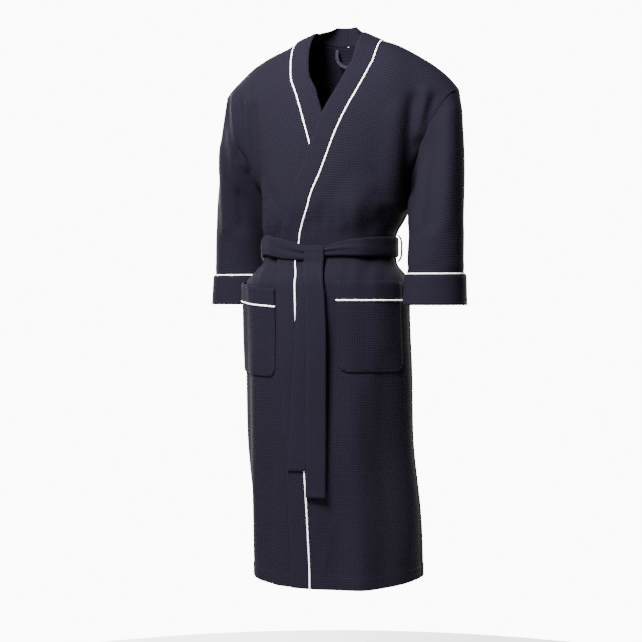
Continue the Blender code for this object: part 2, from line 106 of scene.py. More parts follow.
# Sleeves and cuffs
CUFF_HALF_WIDTH = 0.0580
CUFF_HALF_DEPTH = 0.0535
CUFF_WIDTH = 0.065
SLEEVE_SPREAD = 0.13
CUFF_CLOTH = 0.0040
CUFF_FLARE = 0.045
CUFF_STAND = 0.0006
CUFF_PLACE = {LEFT: (0.227, -0.060), RIGHT: (-0.264, 0.085)}
CUFF_TOP = -SLEEVE_DROP + CUFF_WIDTH
CUFF_COLUMNS = 112

# Belt
BELT_WIDTH = 0.044
BELT_CLOTH = 0.0042
BELT_FLAT = BELT_WIDTH / 2 + 0.004
BELT_LIFT = LAP + BAND_CLOTH + LAYER_GAP
TAIL_WIDTH = 0.043
TAIL_LIFT = BELT_LIFT + BELT_CLOTH + 0.0022

# Pockets
POCKET_TOP = 0.542
POCKET_HEIGHT = 0.191
POCKET_WIDTH = 0.148
POCKET_BAND = 0.038
POCKET_CORNER = 0.022
POCKET_BAG = 0.0045
POCKET_START = {LEFT: 0.060, RIGHT: 0.081}
POCKET_TILT = {LEFT: 0.0, RIGHT: 0.014}

# Spacing of the cloth's points, and the step at which directions are measured
GRID = 0.006
STEP = 0.006
# The same across a band or a belt, with the width of its rounded edge
FINE = (0.0036, 0.0022)
STITCH_LIFT = 0.0001


def smooth(x):
    x = np.clip(x, 0.0, 1.0)
    return x * x * (3 - 2 * x)


def lerp(a, b, share):
    return a + (b - a) * share


def through(points, x):
    """A smooth curve through points that never overshoots them, at x."""
    at, value = np.array(points, float).T
    slope = np.diff(value) / np.diff(at)
    before, after = slope[:-1], slope[1:]
    total = np.where(before + after == 0, 1, before + after)
    inner = np.where(before * after > 0, 2 * before * after / total, 0)
    slopes = np.r_[0, inner, 0]
    x = np.clip(np.asarray(x, float), at[0], at[-1])
    i = np.clip(np.searchsorted(at, x, side="right") - 1, 0, len(at) - 2)
    width = at[i + 1] - at[i]
    s = (x - at[i]) / width
    rise, fall = slopes[i] * width, slopes[i + 1] * width
    climb = (3 * s**2 - 2 * s**3) * (value[i + 1] - value[i])
    return value[i] + climb + (s - 2 * s**2 + s**3) * rise + (s**3 - s**2) * fall


def section(h):
    """Half width, front depth, back depth and stance of the form at height h."""
    drops = (ARMPIT_DROP, BELT_DROP - BELT_FLAT, BELT_DROP + BELT_FLAT, HIP_DROP, THIGH_DROP, ROBE_LENGTH)
    sizes = (CHEST, WAIST, WAIST, HIP, THIGH, HEM)
    drop = ARMPIT_DROP - np.minimum(h, 0)
    half, front, back, shift = (
        through([(d, size[i]) for d, size in zip(drops, sizes)], drop) for i in range(4)
    )
    up = np.sin(np.clip(h, 0, 1) * pi / 2)
    return lerp(half, SHOULDER_SPAN / 2, up * (h > 0)), front, back, shift * (1 - up * (h > 0))


def shoulder_height(x):
    reach = np.hypot(x, 0.03) - np.hypot(NECK_HALF_WIDTH, 0.03)
    return -NECK_DROP - SHOULDER_SLOPE * reach - SHOULDER_ROUNDING * (np.abs(x) / (SHOULDER_SPAN / 2)) ** 8


def height_at(x, h):
    up = np.sin(np.clip(h, 0, 1) * pi / 2)
    return np.where(h <= 0, h - ARMPIT_DROP, -ARMPIT_DROP + (shoulder_height(x) + ARMPIT_DROP) * up)


def h_at(drop):
    return ARMPIT_DROP - drop


def form(t, h, face):
    """Points of the form for arrays of t and h."""
    t, h = np.broadcast_arrays(np.asarray(t, float), np.asarray(h, float))
    half, front, back, shift = section(h)
    depth = front if face == FRONT else back
    across = np.sin(np.abs(t) * pi / 2)
    closed = np.cos(np.abs(t) * pi / 2) * (1 + SQUARENESS * across**2)
    up = np.clip(h, 0, 1) * pi / 2
    opened = np.sin(np.clip(h / ARMHOLE_RISE, 0, 1) * pi / 2)
    side = lerp(closed, ARMHOLE_SHARE + (1 - ARMHOLE_SHARE) * closed**2, opened)
    over = np.where(h > 0, np.cos(up) * (1 + SQUARENESS * np.sin(up) ** 2), 1.0)
    x = shift + half * across * np.sign(t)
    z = height_at(x, h) + HEM_RISE * across**4 * smooth((-h - 0.55) / 0.28)
    return np.stack([x, face * depth * over * side, z], axis=-1)


def unit(v):
    return v / np.maximum(np.linalg.norm(v, axis=-1, keepdims=True), 1e-12)


def outward(t, h, face):
    along = form(np.minimum(1, t + STEP), h, face) - form(np.maximum(-1, t - STEP), h, face)
    up = form(t, np.minimum(1, h + STEP), face) - form(t, h - STEP, face)
    return unit(np.cross(along, up)) * -face


def t_at(x, h):
    """The t of a distance x from the middle line."""
    return np.arcsin(np.clip(x / section(h)[0], -1, 1)) / (pi / 2)


def x_at(t, h):
    """Distance from the middle line at t."""
    return section(h)[0] * np.sin(t * pi / 2)


def seam_x(side, h, offset):
    """Distance of a band seam from the middle line, moved out by offset."""
    x = np.full(np.shape(h), NECK_HALF_WIDTH)
    for _ in range(12):
        drop = -height_at(x + section(h)[3], h)
        slope = (through(BAND_SEAM[side], drop + 0.01) - through(BAND_SEAM[side], drop - 0.01)) / 0.02
        x = through(BAND_SEAM[side], drop) + offset * np.sqrt(1 + slope**2)
    return x


def lap(x, h):
    """How far the outer front stands off where the inner front lies under it."""
    inner_edge = -seam_x(RIGHT, h, -BAND_WIDTH)
    return LAP * (1 - smooth((x - inner_edge - LAP_MARGIN) / LAP_RAMP))


# Folds of the worn cloth in millimetres: left and up at the start, left and up at the end, half width
# and how far it stands out
FOLDS = {
    FRONT: (
        (182, -150, 166, -350, 14, -10), (205, -130, 196, -235, 13, 6),
        (222, -150, 186, -262, 9, -4), (150, -170, 130, -380, 22, 6),
        (255, -150, 262, -510, 16, 6), (228, -230, 222, -470, 18, -4),
        (200, -300, 205, -500, 14, 3), (100, -330, 30, -440, 20, 4),
        (130, -380, 75, -445, 12, -3), (60, -300, -20, -420, 18, -2.5),
        (-176, -160, -172, -350, 12, -9), (-195, -140, -184, -330, 9, 8),
        (-212, -150, -194, -300, 7, -6), (-232, -130, -208, -290, 8, 7),
        (-250, -145, -228, -270, 7, -5), (-165, -330, -80, -440, 14, 4),
        (-130, -340, -95, -440, 10, -3), (-272, -240, -280, -500, 16, 5),
        (-238, -340, -246, -500, 14, -5), (-300, -300, -300, -480, 12, -3),
        (-150, -520, -165, -1180, 16, 5), (-118, -620, -126, -1210, 14, -4),
        (-185, -560, -190, -1150, 10, -4), (20, -640, 34, -1210, 22, -4),
        (75, -760, 90, -1210, 20, 4), (120, -700, 130, -1180, 18, -5),
        (160, -560, 165, -1120, 14, 6), (26, -1050, 4, -1150, 7, 2),
    ),
    BACK: (
        (178, -150, 150, -350, 16, -9), (-186, -150, -166, -350, 16, -9),
        (120, -140, 104, -430, 20, 6), (-130, -140, -124, -430, 20, 6),
        (40, -300, 20, -445, 18, -4), (-50, -280, -70, -445, 18, 4),
        (100, -530, 118, -1200, 20, -7), (50, -520, 56, -1200, 22, 6),
        (-10, -540, -8, -1200, 20, -6), (-70, -520, -76, -1200, 22, 6),
        (-130, -540, -140, -1200, 20, -7), (232, -260, 230, -500, 16, 5),
        (262, -200, 256, -460, 14, -4), (-262, -260, -270, -500, 16, 6),
        (-232, -300, -240, -470, 14, -5),
    ),
}
# Slack all over: wave direction as (left, up) radians per metre, offset and height
SLACK = (
    ((62.0, 9.0), 0.4, 0.0009),
    ((-41.0, 13.0), 1.7, 0.0011),
    ((23.0, -19.0), 2.9, 0.0013),
    ((95.0, 31.0), 4.1, 0.0004),
)
GATHER_PITCH = 0.030
GATHER_HEIGHT = 0.0022
GATHER_REACH = 0.075


def folds(p, n):
    """How far the cloth stands off the form at points p that face n."""
    flat = p[..., [0, 2]]
    rise = sum(height * np.sin(flat @ np.array(wave) + start) for wave, start, height in SLACK)
    for face, lines in FOLDS.items():
        facing = smooth(0.5 + 2 * face * n[..., 1])
        for *ends, width, height in np.array(lines) / 1000:
            start, end = np.reshape(ends, (2, 2))
            run = end - start
            along = ((flat - start) @ run) / (run @ run)
            off = np.linalg.norm(flat - start - np.clip(along, 0, 1)[..., None] * run, axis=-1)
            fade = smooth(4 * along + 0.6) * smooth(4 * (1 - along) + 0.6)
            rise = rise + height * facing * fade * np.exp(-((off / width) ** 2))
    away = np.abs(p[..., 2] + BELT_DROP)
    pleats = np.sin(2 * pi * p[..., 0] / GATHER_PITCH + 1.4 * np.sin(p[..., 0] * 37))
    near = np.exp(-((away / GATHER_REACH) ** 2)) * (np.abs(p[..., 0]) < 0.19)
    return (rise + GATHER_HEIGHT * pleats * near) * smooth((away - BELT_WIDTH / 2) / 0.035)


def pinch(z):
    """How far the tied belt draws everything in at height z."""
    return BELT_PINCH * np.exp(-(((z + BELT_DROP) / PINCH_REACH) ** 2))


def place(t, h, face, lift=0.0):
    """Points of the worn cloth at t, h, lifted off it, with their outward directions."""
    p, n = form(t, h, face), outward(t, h, face)
    return p + n * (folds(p, n) + lift - pinch(p[..., 2]))[..., None], n


def shares(length, step, edge):
    """Shares of a length, about step apart, with close ones at the ends that round the edge."""
    middle = np.linspace(edge, length - edge, max(2, round(length / step)))
    return np.r_[0, edge * 0.35, middle, length - edge * 0.35, length] / length


def travelled(points, axis):
    """Distance gone along an axis of a grid of points."""
    gone = np.linalg.norm(np.diff(points, axis=axis), axis=-1).cumsum(axis=axis)
    return np.insert(gone, 0, 0, axis=axis)


def rounding(points, thick, ring, square_end):
    """Share of the full thickness at each point: it falls away at the edges, as a folded edge does."""
    down = travelled(points, 0)
    off = down if square_end else np.minimum(down, down[-1] - down)
    if not ring:
        across = travelled(points, 1)
        off = np.minimum(off, np.minimum(across, across[:, -1:] - across))
    d = np.clip(off / (thick * 0.6), 0, 1)
    return np.sqrt(np.maximum(0, 1 - (1 - d) ** 2)) * 0.86 + 0.14


def quads(x):
    """The four corners of every cell of a grid x."""
    corners = x[:-1, :-1], x[:-1, 1:], x[1:, 1:], x[1:, :-1]
    return np.stack(corners, axis=2).reshape(-1, 4, *x.shape[2:])


def add(name, data):
    obj = bpy.data.objects.new(name, data)
    bpy.context.collection.objects.link(obj)
    return obj


def plain_mesh(name, points, faces, uv):
    """A mesh whose UV lays its weave out in metres."""
    mesh = bpy.data.meshes.new(name)
    mesh.from_pydata(points.reshape(-1, 3).tolist(), [], faces)
    layer = mesh.uv_layers.new(name="weave")
    layer.data.foreach_set("uv", uv.astype(np.float32).ravel())
    return mesh


def cloth(name, points, out, thick, finish, ring=False, square_end=False):
    """A closed sheet of cloth over a grid of points."""
    rows, columns = points.shape[:2]
    full = rounding(points, np.max(thick), ring, square_end)[..., None]
    thick = np.broadcast_to(np.asarray(thick, float), (rows, columns))[..., None]
    inner = points + out * thick * (1 - full) / 2
    outer = points + out * thick * (1 + full) / 2
    index = np.arange(rows * columns).reshape(rows, columns)
    u = travelled(points, 1)
    u = u[:, -1:] - u
    if ring:
        index = np.c_[index, index[:, :1]]
        u = travelled(np.concatenate([points, points[:, :1]], axis=1), 1)
    v = np.broadcast_to(travelled(points, 0).mean(axis=1)[:, None], u.shape)
    shift = rows * columns
    uv = np.stack([u, v], axis=-1)
    back_to_front = [0, 3, 2, 1]
    faces = [quads(index), quads(index)[:, back_to_front] + shift]
    maps = [quads(uv), quads(uv)[:, back_to_front]]
    borders = [(index[0], uv[0], False), (index[-1], uv[-1], True)]
    if not ring:
        borders += [(index[:, 0], uv[:, 0], True), (index[:, -1], uv[:, -1], False)]
    for line, at, turn in borders:
        a, b = (line[1:], line[:-1]) if turn else (line[:-1], line[1:])
        ua, ub = (at[1:], at[:-1]) if turn else (at[:-1], at[1:])
        faces.append(np.stack([b, a, a + shift, b + shift], axis=-1))
        maps.append(np.stack([ub, ua, ua, ub], axis=1))
    sheet = np.concatenate([inner, outer])
    mesh = plain_mesh(name, sheet, np.concatenate(faces).tolist(), np.concatenate(maps))
    return finished(name, mesh, finish)


def finished(name, mesh, finish):
    """An object of a closed mesh, faces out, shaded smooth."""
    shape = bmesh.new()
    shape.from_mesh(mesh)
    if shape.calc_volume(signed=True) < 0:
        bmesh.ops.reverse_faces(shape, faces=shape.faces)
    shape.to_mesh(mesh)
    shape.free()
    mesh.shade_smooth()
    mesh.set_sharp_from_angle(angle=radians(58))
    mesh.materials.append(finish)
    return add(name, mesh)


def tube(name, line, radius, finish, ring=False, sides=10):
    """A cord along a line of points, with its length and girth as UV."""
    line = np.asarray(line, float)
    if ring:
        ahead, behind = np.roll(line, -1, axis=0), np.roll(line, 1, axis=0)
    else:
        ahead, behind = np.r_[line[1:], line[-1:]], np.r_[line[:1], line[:-1]]
    travel = unit(ahead - behind)
    side = unit(np.cross(travel, np.broadcast_to([0.13, 0.31, 0.94], travel.shape)))
    other = np.cross(travel, side)
    turn = np.arange(sides) * 2 * pi / sides
    skin = np.stack([line + radius * (cos(a) * side + sin(a) * other) for a in turn], axis=1)
    index = np.arange(len(line) * sides).reshape(-1, sides)
    wrapped = np.c_[index, index[:, :1]]
    gone = travelled(line, 0)
    if ring:
        wrapped = np.r_[wrapped, wrapped[:1]]
        gone = np.r_[gone, gone[-1] + np.linalg.norm(line[0] - line[-1])]
    girth = np.arange(sides + 1) * 2 * pi * radius / sides
    uv = np.stack(np.broadcast_arrays(girth[None, :], gone[:, None]), axis=-1)
    faces, maps = quads(wrapped).tolist(), quads(uv).reshape(-1, 2)
    if not ring:
        faces += [index[0][::-1].tolist(), index[-1].tolist()]
        maps = np.r_[maps, uv[0, :-1][::-1], uv[-1, :-1]]
    return finished(name, plain_mesh(name, skin, faces, maps), finish)


# ---- finishes


def linear(code):
    """An sRGB hex colour as linear light."""
    parts = [int(code[i : i + 2], 16) / 255 for i in (1, 3, 5)]
    return (*((c / 12.92 if c <= 0.04045 else ((c + 0.055) / 1.055) ** 2.4) for c in parts), 1.0)


def node(tree, kind, inputs=None, **settings):
    """Adds a node with its settings, and sets or links its inputs."""
    made = tree.nodes.new(kind)
    for key, value in settings.items():
        setattr(made, key, value)
    for key, value in (inputs or {}).items():
        if isinstance(value, bpy.types.NodeSocket):
            tree.links.new(value, made.inputs[key])
        else:
            made.inputs[key].default_value = value
    return made


def new_material(name, roughness, sheen, sheen_tint):
    material = bpy.data.materials.new(name)
    material.use_nodes = True
    shader = material.node_tree.nodes["Principled BSDF"]
    shader.inputs["Roughness"].default_value = roughness
    shader.inputs["Specular IOR Level"].default_value = 0.04
    shader.inputs["Sheen Weight"].default_value = sheen
    shader.inputs["Sheen Roughness"].default_value = 0.45
    shader.inputs["Sheen Tint"].default_value = linear(sheen_tint)
    return material, material.node_tree, shader


def calc(tree, operation, a, b=0.0, c=0.0):
    return node(tree, "ShaderNodeMath", {0: a, 1: b, 2: c}, operation=operation).outputs[0]


def noise(tree, at, scale, detail=2.0):
    return node(tree, "ShaderNodeTexNoise", {"Vector": at, "Scale": scale, "Detail": detail})


def weave_map(tree):
    """The weave's own UV and the place on the object."""
    uv = node(tree, "ShaderNodeUVMap", uv_map="weave").outputs["UV"]
    return uv, node(tree, "ShaderNodeTexCoord").outputs["Object"]


def tones(tree, shader, share, low, high):
    """Colours the shader from low to high with a share from 0 to 1."""
    ramp = node(tree, "ShaderNodeValToRGB", {"Fac": share})
    ramp.color_ramp.elements[0].color = linear(low)
    ramp.color_ramp.elements[1].color = linear(high)
    tree.links.new(ramp.outputs["Color"], shader.inputs["Base Color"])


def relief(tree, shader, height, strength, depth):
    bump = node(tree, "ShaderNodeBump", {"Height": height, "Strength": strength, "Distance": depth})
    tree.links.new(bump.outputs["Normal"], shader.inputs["Normal"])


def waffle_cloth(name, pitch, depth, thread_depth=0.00012):
    """Cotton waffle: square cells with raised walls of floated yarn. The colour is painted lighter on the
    walls and darker in the hollows, a painted highlight and painted shade that follow the bump, with a
    random tone over it, so the cloth looks dark and dry with a fine grid over it."""
    material, tree, shader = new_material(name, 0.92, 0.004, "#8d8fb4")
    uv, spot = weave_map(tree)
    # The yarns wander by a fraction of a cell
    wander = noise(tree, spot, 34.0).outputs["Color"]
    vector = "ShaderNodeVectorMath"
    lean = node(tree, vector, {0: wander, 1: (0.5, 0.5, 0.5)}, operation="SUBTRACT").outputs[0]
    shift = node(tree, vector, {0: lean, "Scale": pitch * 0.5}, operation="SCALE").outputs[0]
    at = node(tree, vector, {0: uv, 1: shift}, operation="ADD").outputs[0]
    parts = node(tree, "ShaderNodeSeparateXYZ", {0: at})
    walls = []
    for axis in (0, 1):
        turn = calc(tree, "MULTIPLY", parts.outputs[axis], pi / pitch)
        walls.append(calc(tree, "ABSOLUTE", calc(tree, "COSINE", turn)))
    wall = calc(tree, "SMOOTH_MAX", walls[0], walls[1], 0.18)
    height = calc(tree, "POWER", wall, 1.7)
    yarn = noise(tree, at, 1900.0, 1.0).outputs[0]
    rough = calc(tree, "ADD", height, calc(tree, "MULTIPLY", yarn, thread_depth / depth))
    relief(tree, shader, rough, 0.9, depth)
    fade = noise(tree, spot, 5.0, 4.0).outputs[0]
    # Painted light: lighter on the cell walls and darker in the hollows (painted highlight and painted
    # shade), plus a real random tone from the fade noise
    painted_ridge_light_and_tone = calc(tree, "ADD", height, calc(tree, "MULTIPLY", fade, 0.30))
    tones(tree, shader, calc(tree, "MULTIPLY", painted_ridge_light_and_tone, 0.77), "#07060b", "#15131c")
    return material


def cotton(name, low, high, ridge_pitch, depth, slant=0.0):
    """Plain woven cotton tape or cord cover: fine ribs that run across the strip or round the cord. The
    colour is painted lighter on the rib crests, a painted highlight, with a real random soiling tone over
    it.
    """
    material, tree, shader = new_material(name, 0.72, 0.15, "#ffffff")
    uv, spot = weave_map(tree)
    parts = node(tree, "ShaderNodeSeparateXYZ", {0: uv})
    along = calc(tree, "ADD", parts.outputs[1], calc(tree, "MULTIPLY", parts.outputs[0], slant))
    rib = calc(tree, "ABSOLUTE", calc(tree, "SINE", calc(tree, "MULTIPLY", along, pi / ridge_pitch)))
    soil = noise(tree, spot, 60.0, 3.0).outputs[0]
    # Rib crests painted lighter than the troughs (painted highlight); the soil noise adds a real random
    # soiling tone
    tones(tree, shader, calc(tree, "MULTIPLY", calc(tree, "ADD", rib, soil), 0.6), low, high)
    relief(tree, shader, rib, 0.7, depth)
    return material


def thread_finish():
    """Polyester-cotton sewing thread, dyed to match: a little glossier than the cloth round it."""
    material, tree, shader = new_material("sewing thread, dyed navy", 0.6, 0.05, "#9a9cc0")
    spot = node(tree, "ShaderNodeTexCoord").outputs["Object"]
    tones(tree, shader, noise(tree, spot, 700.0).outputs[0], "#15131d", "#262333")
    return material


WAFFLE_PITCH = 0.0050
WAFFLE = waffle_cloth("cotton waffle cloth, single", WAFFLE_PITCH, 0.0007)
DOUBLE = waffle_cloth("cotton waffle cloth, double and pressed", WAFFLE_PITCH, 0.0005)
BELT_FINISH = waffle_cloth("cotton waffle cloth, turned in and topstitched", 0.0046, 0.0005)
NAVY_TAPE = cotton("cotton twill tape, dyed navy", "#121019", "#221f2d", 0.0009, 0.0002, 0.6)
PIPING = cotton("cotton piping cord, bleached", "#e6e6ea", "#fbfbfd", 0.0011, 0.00012, 0.5)
LABEL = cotton("woven satin label, blank", "#d6d6da", "#ececf0", 0.0006, 0.00008)
THREAD = thread_finish()


# ---- body panels

# Where the left front ends above the belt and starts again below it
TOP_CUT = 0.470
SKIRT_CUT = 0.476
HEM_DEPTH = 0.028
HEM_EXTRA = 0.0011
SEAM_DIP = 0.0012
SEAM_GAP = 0.0006


def down_to_up(low_drop, high_drop):
    """Heights h of the rows of a panel, from a low level up to a high one."""
    length = low_drop - high_drop
    return ARMPIT_DROP - low_drop + shares(length, GRID, CLOTH) * length


def shoulder_rows():
    return np.linspace(0, 1, 62)[1:]


def upper_rows(low_drop):
    """Rows from a cut below the armpit up to the shoulder ridge."""
    below = down_to_up(low_drop, ARMPIT_DROP)[:-2]
    return np.r_[below, 0.0, shoulder_rows()]


def hem(h):
    """Extra thickness of the turned-up hem."""
    up = h + ROBE_LENGTH - ARMPIT_DROP
    return HEM_EXTRA * (1 - smooth((up - HEM_DEPTH) / 0.0025))


def grid(h, columns):
    return np.repeat(h[:, None], columns, axis=1)


def out_of(directions, columns):
    """One outward direction for each row, for all of its columns."""
    return np.repeat(directions[:, None], columns, axis=1)


def front_lap(side, t, h):
    return lap(x_at(t, h), h) if side == LEFT else np.zeros(np.shape(t))


def front_panel(name, side, h):
    """A front, from its band seam to the side seam and the armhole."""
    edge = t_at(seam_x(side, h, 0.0), h)
    part = shares(0.26, GRID, CLOTH)
    t = edge[:, None] + (1 - edge[:, None]) * part[None, :]
    h2 = grid(h, len(part))
    dip = SEAM_DIP * (smooth((part - 0.97) / 0.03) + smooth((0.02 - part) / 0.02))
    p, n = place(side * t, h2, FRONT, front_lap(side, t, h2) - dip[None, :])
    return cloth(name, p, n, CLOTH + hem(h2), WAFFLE)


def back_neck(share, offset=0.0):
    """(t, h) of the back neck seam, from the ridge at share 0 to the middle at 1."""
    t = t_at(NECK_HALF_WIDTH + offset, 1.0) * (1 - share)
    low = BACK_NECK_TURN - offset / CHEST[2] / (pi / 2)
    return t, 1 - (1 - low) * np.sin(share * pi / 2) ** 0.9


def back_panel():
    """The back, cut out round the neck."""
    corner = float(t_at(NECK_HALF_WIDTH, 1.0))
    neck = np.linspace(0, 1, 14)
    outer = corner + (1 - corner) * shares(0.20, GRID, CLOTH)[2:]
    half_t = np.r_[corner * neck, outer]
    half_top = np.r_[back_neck(1 - neck)[1], np.ones(len(outer))]
    t = np.r_[-half_t[:0:-1], half_t]
    top = np.r_[half_top[:0:-1], half_top]
    below = down_to_up(ROBE_LENGTH, ARMPIT_DROP)[:-2]
    h = np.concatenate([grid(np.r_[below, 0.0], len(t)), shoulder_rows()[:, None] * top[None, :]])
    dip = SEAM_DIP * smooth((np.abs(t) - 0.975) / 0.025)
    p, n = place(np.broadcast_to(t, h.shape), h, BACK, np.broadcast_to(-dip, h.shape))
    return cloth("back_cloth", p, n, CLOTH + hem(h), WAFFLE)


# ---- bands and cords


def band_front(side, h, part):
    """The band down a front, from its seam to its free edge."""
    root, edge = (t_at(seam_x(side, h, -SEAM_GAP - width), h) for width in (0, BAND_WIDTH))
    t = root[:, None] + (edge - root)[:, None] * part[None, :]
    h2 = grid(h, len(part))
    return place(side * t, h2, FRONT, front_lap(side, t, h2))


def collar(side, part, steps=44):
    """The band round the back of the neck, which turns from lying on the shoulder to standing."""
    ridge, _ = band_front(side, np.array([1.0]), np.array([0.0, 1.0]))
    lie = unit(ridge[0, 1] - ridge[0, 0])
    stand = unit(np.array([0, -0.12, 1.0]))
    share = np.linspace(0, 1, steps + 1)
    t, h = back_neck(share)
    feet = place(side * t, h, BACK)[0]
    feet[-1, 0] = -side * 0.0004
    turn = smooth(share)[:, None]
    rise = unit(lie * (1 - turn) + stand * turn)
    travel = np.gradient(feet, axis=0)
    travel[-1] = (-side, 0, 0)
    rise[-1, 0] = 0
    out = unit(np.cross(travel, rise) * side)
    p = feet[:, None] + rise[:, None] * (BAND_WIDTH * part)[None, :, None]
    return p[1:], out_of(out[1:], len(part))


def band_thickness(part, rows):
    """A little fuller between the two stitched edges."""
    full = BAND_CLOTH * (0.80 + 0.20 * smooth(part / 0.2) * smooth((1 - part) / 0.14))
    return np.broadcast_to(full, (rows, len(part)))


def reaches_ridge(h):
    """Whether rows run up to the shoulder ridge, so that the band goes on round the neck."""
    return h[-1] == 1


def band(name, side, h):
    part = shares(BAND_WIDTH, *FINE)
    p, n = band_front(side, h, part)
    if reaches_ridge(h):
        more, more_out = collar(side, part)
        p, n = np.concatenate([p, more]), np.concatenate([n, more_out])
        # The turn over the ridge is evened out
        steady = np.linspace(0, 1, 9)[1:-1, None, None]
        middle = len(h) - 1
        low, high = middle - 4, middle + 4
        n[low + 1 : high] = unit(n[low] * (1 - steady) + n[high] * steady)
    return cloth(name, p, n, band_thickness(part, len(p)), DOUBLE)


def seam_line(side, h, lift, offset=0.0):
    """Points along the band seam or beside it, on top of the cloth."""
    round_neck = reaches_ridge(h) and offset > -BAND_WIDTH / 2
    t = t_at(seam_x(side, h, offset), h)
    p = place(side * t, h, FRONT, front_lap(side, t, h) + lift)[0]
    if round_neck:
        share = np.linspace(0, 1, 40)[1:]
        t, h = back_neck(share, offset)
        more = place(side * t, h, BACK, np.full(len(t), lift))[0]
        more[-1, 0] = side * 0.0002
        p = np.r_[p, more]
    return p


def band_cord(name, side, h):
    return tube(name, seam_line(side, h, CLOTH + 0.0004), CORD_RADIUS, PIPING)


# ---- sleeves


def cuff_ring(side, z, turn, grow=0.0):
    x, y = CUFF_PLACE[side]
    ring = np.empty((len(turn), 3))
    ring[:, 0] = x - side * (CUFF_HALF_WIDTH + grow) * np.cos(turn)
    ring[:, 1] = y - (CUFF_HALF_DEPTH + grow) * np.sin(turn)
    ring[:, 2] = z
    return ring


def armhole(side, count):
    """The armhole edge of the worn body: up the front and down the back, from the armpit."""
    h = np.linspace(0, 1, count + 1)
    edge, dip = np.full(count + 1, float(side)), np.full(count + 1, -SEAM_DIP)
    front, back = (place(edge, h, face, dip)[0] for face in (FRONT, BACK))
    return np.r_[front, back[-2:0:-1]]


def tube_out(rows, side):
    """Outward directions of a tube of rings."""
    round_it = np.roll(rows, -1, axis=1) - np.roll(rows, 1, axis=1)
    down = np.gradient(rows, axis=0)
    return unit(np.cross(down, round_it)) * side


def sleeve_form(side, count=56, rows=84):
    """The sleeve from the armhole to the top of the cuff, then straight down inside it."""
    top = armhole(side, count)
    turn = np.arange(2 * count) * pi / count
    end = cuff_ring(side, CUFF_TOP + 0.004, turn)
    edge = unit(form(side, 1.0, FRONT) - form(side, 0.0, FRONT))
    away = np.array([side * abs(edge[2]), 0, -abs(edge[0])])
    reach = np.linalg.norm(end - top, axis=-1, keepdims=True)
    leave = (unit(end - top) * (1 - SLEEVE_SPREAD) + away * SLEEVE_SPREAD) * reach
    arrive = np.array([0, 0, -1.0]) * reach
    s = np.linspace(0, 1, rows)[:, None, None]
    p = top * (2 * s**3 - 3 * s**2 + 1) + leave * (s**3 - 2 * s**2 + s)
    p = p + end * (3 * s**2 - 2 * s**3) + arrive * (s**3 - s**2)
    n = tube_out(p, side)
    grow = smooth(s[..., 0] / 0.12) * smooth((1 - s[..., 0]) / 0.05)
    p = p + n * (folds(p, n) * grow)[..., None]
    inside = [cuff_ring(side, z, turn) for z in np.linspace(CUFF_TOP, -SLEEVE_DROP + 0.003, 12)]
    return np.concatenate([p, inside])


def sleeve(name, side):
    p = sleeve_form(side)
    return cloth(name, p, tube_out(p, side), CLOTH, WAFFLE, ring=True)


def cuff_out(side, turn):
    x, y = -side * np.cos(turn) / CUFF_HALF_WIDTH, -np.sin(turn) / CUFF_HALF_DEPTH
    return unit(np.stack([x, y, 0 * turn], axis=-1))


def cuff_wave(turn, z):
    """Slack of the cuff, most at its lower edge."""
    drop = (CUFF_TOP - z) / CUFF_WIDTH
    return 0.0012 * drop * np.sin(3 * turn + 0.7) + 0.0007 * np.sin(5 * turn + 2.1)


def cuff(name, side):
    """The cuff round the sleeve's end, a little wider towards its lower edge."""
    turn = np.arange(CUFF_COLUMNS) * 2 * pi / CUFF_COLUMNS
    rows = []
    for z in -SLEEVE_DROP + CUFF_WIDTH * shares(CUFF_WIDTH, 0.005, 0.002):
        ring = cuff_ring(side, z, turn, CLOTH + CUFF_STAND + CUFF_FLARE * (CUFF_TOP - z))
        rows.append(ring + cuff_out(side, turn) * (2 * CUFF_STAND + cuff_wave(turn, z))[:, None])
    out = np.repeat(cuff_out(side, turn)[None], len(rows), axis=0)
    return cloth(name, np.array(rows), out, CUFF_CLOTH, DOUBLE, ring=True)


def cuff_cord(name, side):
    turn = np.arange(CUFF_COLUMNS) * 2 * pi / CUFF_COLUMNS
    top = CUFF_TOP + 2 * CUFF_STAND
    wave = cuff_out(side, turn) * cuff_wave(turn, top)[:, None]
    line = cuff_ring(side, top, turn, 2 * CLOTH) + wave
    return tube(name, line, CORD_RADIUS, PIPING, ring=True)


# ---- pockets


def pocket_span(side):
    level = h_at(POCKET_TOP + POCKET_HEIGHT / 2)
    first = float(t_at(POCKET_START[side], level))
    t = np.linspace(first, 1, 400)
    gone = travelled(form(t, np.full(400, level), FRONT)[None], 1)[0]
    return first, float(np.interp(POCKET_WIDTH, gone, t))


def on_pocket(side, drops, share, stand):
    """Points on the swell of a pocket: share runs across it, stand is how far they stand off the front."""
    first, last = pocket_span(side)
    t = first + (last - first) * share
    h = h_at(drops + POCKET_TILT[side] * (1 - share))
    sink = (drops - POCKET_TOP) / POCKET_HEIGHT
    slack = POCKET_BAG * np.sin(pi * share) * (1 - sink**2)
    return place(side * t, h, FRONT, front_lap(side, t, h) + stand + slack)


def pocket_grid(side, drops, part, lift):
    """A patch on the front: part runs across between its edges, inset at the rounded lower corners."""
    bottom = POCKET_TOP + POCKET_HEIGHT
    into = np.maximum(0, POCKET_CORNER - (bottom - drops))
    inset = (POCKET_CORNER - np.sqrt(np.maximum(0, POCKET_CORNER**2 - into**2))) / POCKET_WIDTH
    share = inset[:, None] + (1 - 2 * inset[:, None]) * part[None, :]
    edge = np.minimum(share, 1 - share) * POCKET_WIDTH
    edge = np.minimum(edge, np.maximum(0, bottom - drops)[:, None])
    stand = CLOTH + 0.0002 + 0.0012 * smooth(edge / 0.006)
    return on_pocket(side, grid(drops, len(part)), share, stand + lift)


